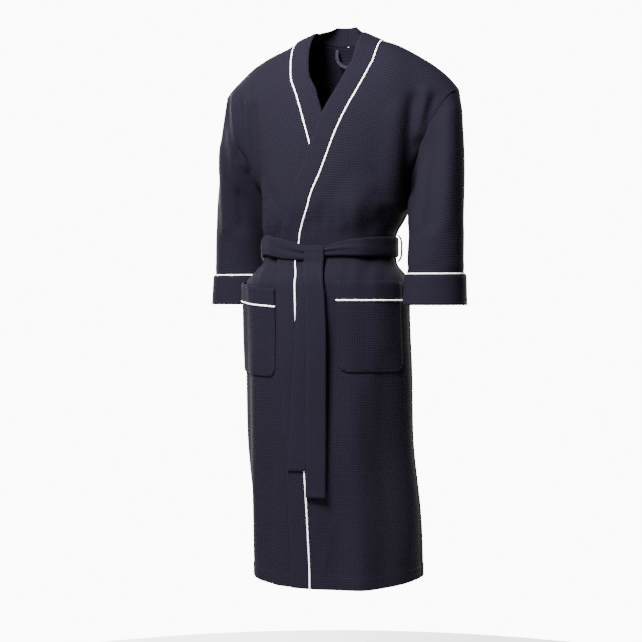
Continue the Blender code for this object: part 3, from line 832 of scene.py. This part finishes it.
def pocket(name, side):
    """Bag, cord and double band of a patch pocket."""
    seam = POCKET_TOP + POCKET_BAND
    part = shares(POCKET_WIDTH, 0.0045, CLOTH)
    bottom = POCKET_TOP + POCKET_HEIGHT
    corner = bottom - POCKET_CORNER * (1 - np.cos(np.linspace(0, pi / 2, 9)))
    drops = np.r_[corner, np.linspace(bottom - POCKET_CORNER, seam, 30)[1:]]
    p, n = pocket_grid(side, drops, part, 0.0)
    bag = cloth(f"{name}_pocket_cloth", p, n, CLOTH, WAFFLE)
    drops = seam - shares(POCKET_BAND, 0.004, 0.002) * POCKET_BAND
    p, n = pocket_grid(side, drops, part, 0.0)
    top = cloth(f"{name}_pocket_band_cloth", p, n, CUFF_CLOTH, DOUBLE)
    past = 0.008
    line, _ = pocket_grid(side, np.array([seam]), np.linspace(-past, 1 + past, 60), 0.0036)
    cord = tube(f"{name}_pocket_cord", line[0], CORD_RADIUS, PIPING)
    return bag, top, cord


# ---- belt

# The worn belt's middle height and half width, away from the knot
BELT_MIDDLE = -0.4650
BELT_HALF = 0.0215
BELT_COLUMNS = 150
# How far to the left of the middle, middle height and half width of the tied belt at the front
BELT_SHAPE = (
    (-0.150, BELT_MIDDLE, BELT_HALF), (-0.118, -0.4600, BELT_HALF), (-0.070, -0.4700, BELT_HALF),
    (-0.026, -0.4780, 0.0165), (0.003, -0.4770, 0.0120), (0.026, -0.4745, 0.0115),
    (0.055, -0.4700, 0.0150), (0.080, -0.4675, 0.0180), (0.120, -0.4655, 0.0208),
    (0.150, BELT_MIDDLE, BELT_HALF),
)
KNOT_X = 0.003
KNOT_TOP = -0.4670
KNOT_END = -0.4953
KNOT_START = -0.4780
# Middle line of each belt end, as (drop, how far to the left), and where it starts and ends
FRONT_TAIL_LINE = ((0.495, -0.024), (0.571, -0.015), (0.685, -0.011), (1.2, -0.011))
REAR_TAIL_LINE = ((0.495, -0.024), (0.585, -0.035), (0.700, -0.041), (1.2, -0.062))
FRONT_TAIL_DROPS = (0.4956, 0.998)
REAR_TAIL_DROPS = (0.4895, 0.943)


def belt_lift(x):
    """How far the belt stands off the form: more where both bands lie under it."""
    covered = abs(float(seam_x(LEFT, np.array([h_at(BELT_DROP)]), -BAND_WIDTH)[0])) + 2 * LAP_MARGIN
    most = BELT_LIFT - CLOTH - LAYER_GAP
    return CLOTH + LAYER_GAP + most * (1 - smooth((np.abs(x) - covered) / LAP_RAMP))


def belt():
    """The belt round the waist: one closed turn of double cloth, drawn together at the knot."""
    t = np.r_[np.linspace(-1, 1, BELT_COLUMNS), np.linspace(1, -1, 120)[1:-1]]
    front = np.arange(len(t)) < BELT_COLUMNS
    x = x_at(t, h_at(BELT_DROP))
    at, middle, half = np.array(BELT_SHAPE).T
    centre = np.where(front, np.interp(x, at, middle), BELT_MIDDLE)
    width = np.where(front, np.interp(x, at, half), BELT_HALF)
    part = shares(BELT_WIDTH, 0.0026, 0.0022)
    h = np.full(len(t), h_at(BELT_DROP))
    base = np.where(front[:, None], form(t, h, FRONT), form(t, h, BACK))
    out = np.where(front[:, None], outward(t, h, FRONT), outward(t, h, BACK))
    out[:, 2] = 0
    out = unit(out)
    lift = np.where(front, belt_lift(x), CLOTH + LAYER_GAP) - BELT_PINCH
    pull = np.where(front, np.exp(-((np.abs(x - KNOT_X) / 0.075) ** 2)), 0)
    rows = []
    for share in part:
        v = 2 * share - 1
        crease = 0.0016 * pull * np.sin(v * 7.0 + 12 * x) + 0.0009 * np.sin(v * 3 + x * 30)
        bow = 0.0012 * (1 - v * v)
        p = base + out * (lift + 0.0006 + crease * (1 - abs(v)) + bow)[:, None]
        p[:, 2] = centre + v * width
        rows.append(p)
    out = np.repeat(out[None], len(part), axis=0)
    return cloth("belt_cloth", np.array(rows), out, BELT_CLOTH, BELT_FINISH, ring=True)


def strip(middle, lift, z, half):
    """A strip down the front: for each station its middle, lift off the form, height and half width."""
    across = shares(2 * half.max(), *FINE) * 2 - 1
    x = middle[:, None] + half[:, None] * across[None, :]
    h = grid(z + ARMPIT_DROP, len(across))
    n = outward(t_at(x, h), h, FRONT)
    level = n.copy()
    level[..., 2] = 0
    size = np.sum(level**2, axis=-1, keepdims=True)
    lift = lift - pinch(z)
    p = form(t_at(x, h), h, FRONT) + level * (lift[:, None, None] / size)
    p[..., 2] = z[:, None]
    return p, unit(level), across


def knot():
    """The turn of the belt that comes up behind it, over its top edge and down the front."""
    inner, outer = BELT_LIFT - 0.0006, TAIL_LIFT
    radius = (outer - inner) / 2
    arc = np.linspace(0, pi, 17)
    middle_lift = (inner + outer) / 2
    lift = np.r_[np.full(3, inner), middle_lift - radius * np.cos(arc), np.full(12, outer)]
    top = KNOT_TOP - radius
    z = np.r_[np.linspace(KNOT_START, top - 0.002, 3), top + radius * np.sin(arc)]
    z = np.r_[z, np.linspace(top - 0.003, KNOT_END, 12)]
    up = np.r_[np.zeros(3), np.sin(arc), np.zeros(12)]
    face = np.r_[np.full(3, -1.0), -np.cos(arc), np.full(12, 1.0)]
    half = np.full(len(z), TAIL_WIDTH / 2 - 0.0006) - 0.0012 * np.exp(-((z - KNOT_TOP) / 0.01) ** 2)
    p, level, across = strip(np.full(len(z), KNOT_X), lift, z, half)
    n = unit(level * face[:, None, None] + np.array([0, 0, 1.0]) * up[:, None, None])
    crease = 0.0006 * np.sin(across * 5 + 1)[None, :, None]
    return cloth("belt_knot_cloth", p + n * crease, n, BELT_CLOTH, BELT_FINISH, square_end=True)


def tail(name, middle, drops, lift, sway, square_end=False):
    """A belt end: double cloth that hangs from under the knot, with its end turned in and stitched."""
    top_drop, end_drop = drops
    length = end_drop - top_drop
    z = -end_drop + shares(length, GRID, FINE[1]) * length
    along = (z + end_drop) / length
    centre = through(middle, -z) - section(z + ARMPIT_DROP)[3]
    half = np.full(len(z), TAIL_WIDTH / 2)
    swing = sway * np.sin(pi * (1 - along)) ** 2
    p, level, across = strip(centre, lift + swing, z, half)
    wave = 0.0009 * np.sin(9 * along + 1.0)[:, None] * across[None, :]
    bow = 0.0010 * (1 - across**2)[None, :] * np.ones((len(z), 1))
    p = p + level * (wave + bow)[..., None]
    return cloth(name, p, level, BELT_CLOTH, BELT_FINISH, square_end=square_end)


# ---- small pieces


def belt_loop(name, side):
    """A strap over the belt, sewn to the back panel beside the side seam."""
    width, thick, belly_depth = 0.008, 0.0034, 0.0080
    reach = BELT_WIDTH / 2 + 0.006
    turn = np.linspace(-1, 1, 31)
    z = -BELT_DROP + reach * turn
    foot = form(side, h_at(-z), BACK)
    belly = belly_depth * (1 - np.abs(turn) ** 4)
    x = foot[:, 0] + side * (CLOTH + 0.0008 + belly)
    part = shares(width, 0.0016, 0.0008) * width
    p = np.empty((len(z), len(part), 3))
    p[..., 0], p[..., 1], p[..., 2] = x[:, None], 0.001 + part[None, :], z[:, None]
    lean = np.gradient(x, z)
    n = unit(np.stack([np.full(len(z), side), 0 * z, -side * lean], axis=-1))
    return cloth(name, p, out_of(n, len(part)), thick, NAVY_TAPE)


def hanger_loop():
    """A loop of narrow tape that hangs inside the back neck seam."""
    length, corner, width, thick = 0.036, 0.022, 0.007, 0.0014
    top = form(0.0, BACK_NECK_TURN, BACK)
    turn = np.linspace(0, pi, 26)
    x = np.r_[-corner, -corner * np.cos(turn), corner]
    z = np.r_[0, -(length - corner) - corner * np.sin(turn), 0]
    out = np.r_[[(-1, 0)], np.stack([-np.cos(turn), -np.sin(turn)], axis=-1), [(1, 0)]]
    part = shares(width, 0.0014, 0.0006) * width
    p = np.empty((len(x), len(part), 3))
    p[..., 0] = x[:, None] + out[:, :1] * part
    p[..., 1] = top[1] - 0.0046
    p[..., 2] = top[2] - 0.004 + z[:, None] + out[:, 1:] * part
    n = np.broadcast_to(np.array([0, 1.0, 0]), p.shape)
    return cloth("hanger_tape", p, n, thick, NAVY_TAPE)


def neck_label():
    """A blank woven label inside the back."""
    width, height, edge = 0.056, 0.024, 0.0006
    part = shares(width, 0.005, edge) - 0.5
    h = grid(BACK_NECK_TURN - 0.28 + 0.055 * shares(height, 0.004, edge), len(part))
    t = t_at(width * part[None, :], h)
    p, n = place(t, h, BACK, np.full(h.shape, -0.0014))
    return cloth("neck_label_cloth", p, n, 0.0008, LABEL)


# ---- stitching


def stitch_tree():
    """Lays sewing stitches along lines: one short thread for each stitch, end to end with a gap."""
    tree = bpy.data.node_groups.new("lockstitch", "GeometryNodeTree")
    tree.interface.new_socket("Lines", in_out="INPUT", socket_type="NodeSocketGeometry")
    for name, value in (("Stitch length", 0.0026), ("Stitch pitch", 0.0036), ("Thread radius", 0.00032)):
        socket = tree.interface.new_socket(name, in_out="INPUT", socket_type="NodeSocketFloat")
        socket.default_value = value
    tree.interface.new_socket("Thread", in_out="INPUT", socket_type="NodeSocketMaterial")
    tree.interface.new_socket("Stitches", in_out="OUTPUT", socket_type="NodeSocketGeometry")
    given = node(tree, "NodeGroupInput").outputs
    lines = node(tree, "GeometryNodeMeshToCurve", {"Mesh": given["Lines"]})
    spread = {"Curve": lines.outputs["Curve"], "Length": given["Stitch pitch"]}
    places = node(tree, "GeometryNodeCurveToPoints", spread, mode="LENGTH").outputs
    size = {"Vertices": 5, "Radius": given["Thread radius"], "Depth": given["Stitch length"]}
    thread = node(tree, "GeometryNodeMeshCylinder", size, fill_type="TRIANGLE_FAN").outputs["Mesh"]
    laid = {"Points": places["Points"], "Instance": thread, "Rotation": places["Rotation"]}
    placed = node(tree, "GeometryNodeInstanceOnPoints", laid).outputs["Instances"]
    real = node(tree, "GeometryNodeRealizeInstances", {"Geometry": placed}).outputs["Geometry"]
    painted = node(tree, "GeometryNodeSetMaterial", {"Geometry": real, "Material": given["Thread"]})
    node(tree, "NodeGroupOutput", {"Stitches": painted.outputs["Geometry"]})
    return tree


STITCHES = stitch_tree()


def stitches(name, lines):
    """Stitching along several lines of points, as one plain mesh."""
    points, edges = [], []
    for line in lines:
        start = len(points)
        points += np.asarray(line).tolist()
        edges += [(start + i, start + i + 1) for i in range(len(line) - 1)]
    mesh = bpy.data.meshes.new(name)
    mesh.from_pydata(points, edges, [])
    guide = add(name + "_lines", mesh)
    made = guide.modifiers.new("lockstitch", "NODES")
    made.node_group = STITCHES
    sockets = {s.name: s.identifier for s in STITCHES.interface.items_tree if s.in_out == "INPUT"}
    made[sockets["Thread"]] = THREAD
    evaluated = guide.evaluated_get(bpy.context.evaluated_depsgraph_get())
    plain = bpy.data.meshes.new_from_object(evaluated)
    bpy.data.objects.remove(guide)
    plain.shade_smooth()
    plain.set_sharp_from_angle(angle=radians(50))
    return add(name, plain)


def hem_line(side_from, side_to, face, lapped=False):
    """A stitch line round the hem on one face, between two t."""
    t = np.linspace(side_from, side_to, 90)
    h = np.full(90, h_at(ROBE_LENGTH - HEM_DEPTH + 0.002))
    extra = lap(x_at(t, h), h) if lapped else 0.0
    return place(t, h, face, extra + CLOTH + HEM_EXTRA + STITCH_LIFT)[0]


def band_lines(side, h):
    """Topstitching on both sides of the band seam and along the free edge."""
    lines = []
    for offset, thick in ((0.0055, CLOTH), (-0.0050, BAND_CLOTH), (-BAND_WIDTH + 0.0045, BAND_CLOTH)):
        lines.append(seam_line(side, h, thick + STITCH_LIFT, offset))
    return lines


def drop_seam_line(side, sleeve_grid):
    """Stitching beside the seam that joins the sleeve, on the sleeve."""
    n = tube_out(sleeve_grid, side)
    ring = sleeve_grid[2] + n[2] * (CLOTH + STITCH_LIFT)
    return [np.r_[ring, ring[:1]]]


def cuff_lines(side):
    turn = np.linspace(0, 2 * pi, CUFF_COLUMNS + 1)
    lines = []
    for z in (-SLEEVE_DROP + 0.006, CUFF_TOP - 0.005):
        out = CLOTH + 3 * CUFF_STAND + CUFF_CLOTH + STITCH_LIFT + CUFF_FLARE * (CUFF_TOP - z)
        lines.append(cuff_ring(side, z, turn, out) + cuff_out(side, turn) * cuff_wave(turn, z)[:, None])
    return lines


def pocket_lines(side):
    """Stitching down both sides and round the bottom of the bag, and along the band's two edges."""
    bottom = POCKET_TOP + POCKET_HEIGHT
    inset = 0.0035
    lift = 2 * CLOTH + 0.0018
    turn = np.linspace(0, pi / 2, 12)
    curve = bottom - inset - (POCKET_CORNER - inset) * (1 - np.sin(turn))
    edge = inset / POCKET_WIDTH
    down = np.linspace(POCKET_TOP + 0.004, bottom - POCKET_CORNER, 30)
    inner = edge + (POCKET_CORNER - inset) * (1 - np.cos(turn)) / POCKET_WIDTH
    drops = np.r_[down, curve[1:]]
    side_share = np.r_[np.full(30, edge), inner[1:]]
    across = np.linspace(side_share[-1], 1 - side_share[-1], 24)[1:-1]
    drops = np.r_[drops, np.full(len(across), drops[-1]), drops[::-1]]
    share = np.r_[side_share, across, 1 - side_share[::-1]]
    lines = [on_pocket(side, drops, share, lift)[0]]
    for drop in (POCKET_TOP + 0.005, POCKET_TOP + POCKET_BAND - 0.0045):
        lines.append(on_pocket(side, np.full(40, drop), np.linspace(0.01, 0.99, 40), CLOTH + 0.0058)[0])
    return lines


def tail_lines(obj, rows, columns):
    """Stitching near the long edges and the end of a belt end, taken from its outer face."""
    inner, outer = np.array([v.co for v in obj.data.vertices]).reshape(2, rows, columns, 3)
    face = outer[:, columns // 2] - inner[:, columns // 2]
    corners = outer + unit(face)[:, None] * STITCH_LIFT
    return [corners[2:-3, 3], corners[2:-3, -4], corners[3, 3:-3]]


# ---- putting it together


def dress(obj, node_name):
    """Hides the imported part that a finished piece stands for, and gives the piece back."""
    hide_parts(node_name)
    return obj


SIDE_NAMES = {LEFT: "left", RIGHT: "right"}


def follow_flap(obj):
    """Bakes the placement of a piece of the flap into its mesh."""
    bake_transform(obj)


# How each piece of the fronts is made, its finish, and its piece and node for the left front above the
# belt, the right front and the left front below the belt
FRONT_PIECES = (
    (
        front_panel, "navy_waffle",
        ("left_front_cloth", "left_front_upper"),
        ("right_front_cloth", "right_front"),
        ("left_skirt_cloth", "left_front_skirt"),
    ),
    (
        band, "navy_double",
        ("left_band_cloth", "left_band_upper"),
        ("right_band_cloth", "right_band"),
        ("left_skirt_band_cloth", "left_band_skirt"),
    ),
    (
        band_cord, "white_piping",
        ("left_band_cord", "left_band_piping_upper"),
        ("right_band_cord", "right_band_piping"),
        ("left_skirt_cord", "left_band_piping_skirt"),
    ),
)


def make_body():
    """Back, fronts, bands and their cords. Gives the stitch lines of the body and of the flap."""
    skirt, upper, whole = down_to_up(ROBE_LENGTH, SKIRT_CUT), upper_rows(TOP_CUT), upper_rows(ROBE_LENGTH)
    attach(dress(back_panel(), "back_body"), "root")
    for build, finish, *names in FRONT_PIECES:
        for (piece, node_name), where in zip(names, ((LEFT, upper), (RIGHT, whole), (LEFT, skirt))):
            obj = dress(build(piece, *where), node_name)
            if where[1] is skirt:
                follow_flap(obj)
            else:
                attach(obj, "root")
    root_lines = band_lines(LEFT, upper) + band_lines(RIGHT, whole)
    root_lines += [hem_line(-1, 1, BACK), hem_line(-1, float(-t_at(0.035, h_at(1.18))), FRONT)]
    return root_lines, band_lines(LEFT, skirt) + [hem_line(-0.03, 1, FRONT, lapped=True)]


def make_sleeves():
    for side, name in SIDE_NAMES.items():
        arm = f"{name}_sleeve_arm"
        main = dress(sleeve(f"{name}_sleeve_cloth", side), f"{name}_sleeve")
        turned = dress(cuff(f"{name}_cuff_cloth", side), f"{name}_cuff")
        cord = dress(cuff_cord(f"{name}_cuff_cord", side), f"{name}_cuff_piping")
        seam = stitches(f"{name}_drop_seam_stitches", drop_seam_line(side, sleeve_form(side)))
        sewn = stitches(f"{name}_cuff_stitches", cuff_lines(side))
        for obj in (main, seam):
            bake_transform(obj)
        for obj in (turned, cord, sewn):
            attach(obj, arm)


def make_pockets():
    """The right pocket stays with the body, the left one goes with the flap."""
    for side, name in SIDE_NAMES.items():
        bag, top, cord = pocket(name, side)
        dress(bag, f"{name}_pocket")
        dress(top, f"{name}_pocket_band")
        dress(cord, f"{name}_pocket_piping")
        for obj in (bag, top, cord):
            if side == LEFT:
                follow_flap(obj)
            else:
                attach(obj, "root")


def make_belt():
    whole = dress(belt(), "belt")
    turn = dress(knot(), "belt_knot")
    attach(whole, "root")
    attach(turn, "root")
    rear = tail("rear_tail_cloth", REAR_TAIL_LINE, REAR_TAIL_DROPS, BELT_LIFT - 0.0004, 0.002)
    front = tail("front_tail_cloth", FRONT_TAIL_LINE, FRONT_TAIL_DROPS, TAIL_LIFT, 0.003, True)
    columns = len(shares(TAIL_WIDTH, *FINE))
    for obj, node_name, body in (
        (rear, "belt_tail_rear", "rear_belt_end"),
        (front, "belt_tail_front", "front_belt_end"),
    ):
        rows = len(obj.data.vertices) // 2 // columns
        sewn = stitches(obj.name.replace("_cloth", "_stitches"), tail_lines(obj, rows, columns))
        dress(obj, node_name)
        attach(obj, body)
        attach(sewn, body)
    for side, name in SIDE_NAMES.items():
        loop = dress(belt_loop(f"{name}_loop_tape", side), f"{name}_belt_loop")
        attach(loop, "root")


def make_inside():
    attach(dress(hanger_loop(), "hanger_loop"), "hanger")
    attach(dress(neck_label(), "neck_label"), "root")


VIEW_TURN = radians(18)  # the view is turned this far to the wearer's left
FLOOR_RADIUS = 1.35
FLOOR_LEVEL = -1.56
SURROUND_LIGHT = 0.08
SURROUND_SEEN = 11.0
# Lamps: how far left of the camera and up, in degrees, distance, size and power
LAMPS = (
    ("key", 31, 44, 2.4, 0.9, 365.0),
    ("side", 85, 30, 2.6, 0.8, 20.0),
    ("fill", -12, 4, 3.6, 2.4, 6.0),
    ("back left", 150, 12, 3.2, 1.6, 330.0),
    ("back right", 215, 12, 3.2, 1.6, 230.0),
)


def look_at(obj, aim):
    obj.rotation_euler = (aim - obj.location).to_track_quat("-Z", "Y").to_euler()


def make_studio():
    """Pale floor, white surround, a soft key from the front left, weak fills and two lamps behind."""
    floor = bpy.data.meshes.new("floor")
    sides = 64
    turn = np.arange(sides) * 2 * pi / sides
    x, y = FLOOR_RADIUS * np.cos(turn), FLOOR_RADIUS * np.sin(turn)
    ring = np.stack([x, y, np.full(sides, FLOOR_LEVEL)], axis=-1)
    floor.from_pydata(ring.tolist(), [], [list(range(sides))])
    add("floor", floor)
    paper = bpy.data.materials.new("studio paper, matt white")
    paper.use_nodes = True
    paper.node_tree.nodes["Principled BSDF"].inputs["Base Color"].default_value = linear("#e9e8e6")
    paper.node_tree.nodes["Principled BSDF"].inputs["Roughness"].default_value = 0.9
    floor.materials.append(paper)
    world = bpy.data.worlds.new("surround")
    bpy.context.scene.world = world
    world.use_nodes = True
    tree = world.node_tree
    seen = node(tree, "ShaderNodeLightPath").outputs["Is Camera Ray"]
    glow = node(tree, "ShaderNodeMapRange", {0: seen, 3: SURROUND_LIGHT, 4: SURROUND_SEEN}).outputs[0]
    tree.links.new(glow, tree.nodes["Background"].inputs["Strength"])
    tree.nodes["Background"].inputs["Color"].default_value = linear("#ffffff")
    middle = Vector((0, 0, -0.6))
    for name, left_of_camera, up, far, size, power in LAMPS:
        lamp = bpy.data.lights.new(name, "AREA")
        lamp.size = size
        lamp.energy = power
        obj = add(name, lamp)
        turn, tilt = VIEW_TURN - radians(left_of_camera), radians(up)
        toward = Vector((sin(turn) * cos(tilt), -cos(turn) * cos(tilt), sin(tilt)))
        obj.location = middle + far * toward
        look_at(obj, middle)


def make_camera():
    """A long lens, level with the waist, turned a little to the wearer's left."""
    view = bpy.data.cameras.new("camera")
    view.lens = 100
    view.clip_end = 50
    far, above = 3.905, 0.06
    aim = Vector((-0.0428, -0.0139, -0.626))
    obj = add("camera", view)
    obj.location = aim + Vector((sin(VIEW_TURN) * far, -cos(VIEW_TURN) * far, above))
    look_at(obj, aim)
    bpy.context.scene.camera = obj


make_studio()
make_camera()
root_lines, flap_lines = make_body()
make_sleeves()
make_pockets()
make_belt()
make_inside()
root_sewing = stitches("body_stitches", root_lines + pocket_lines(RIGHT))
flap_sewing = stitches("flap_stitches", flap_lines + pocket_lines(LEFT))
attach(root_sewing, "root")
follow_flap(flap_sewing)
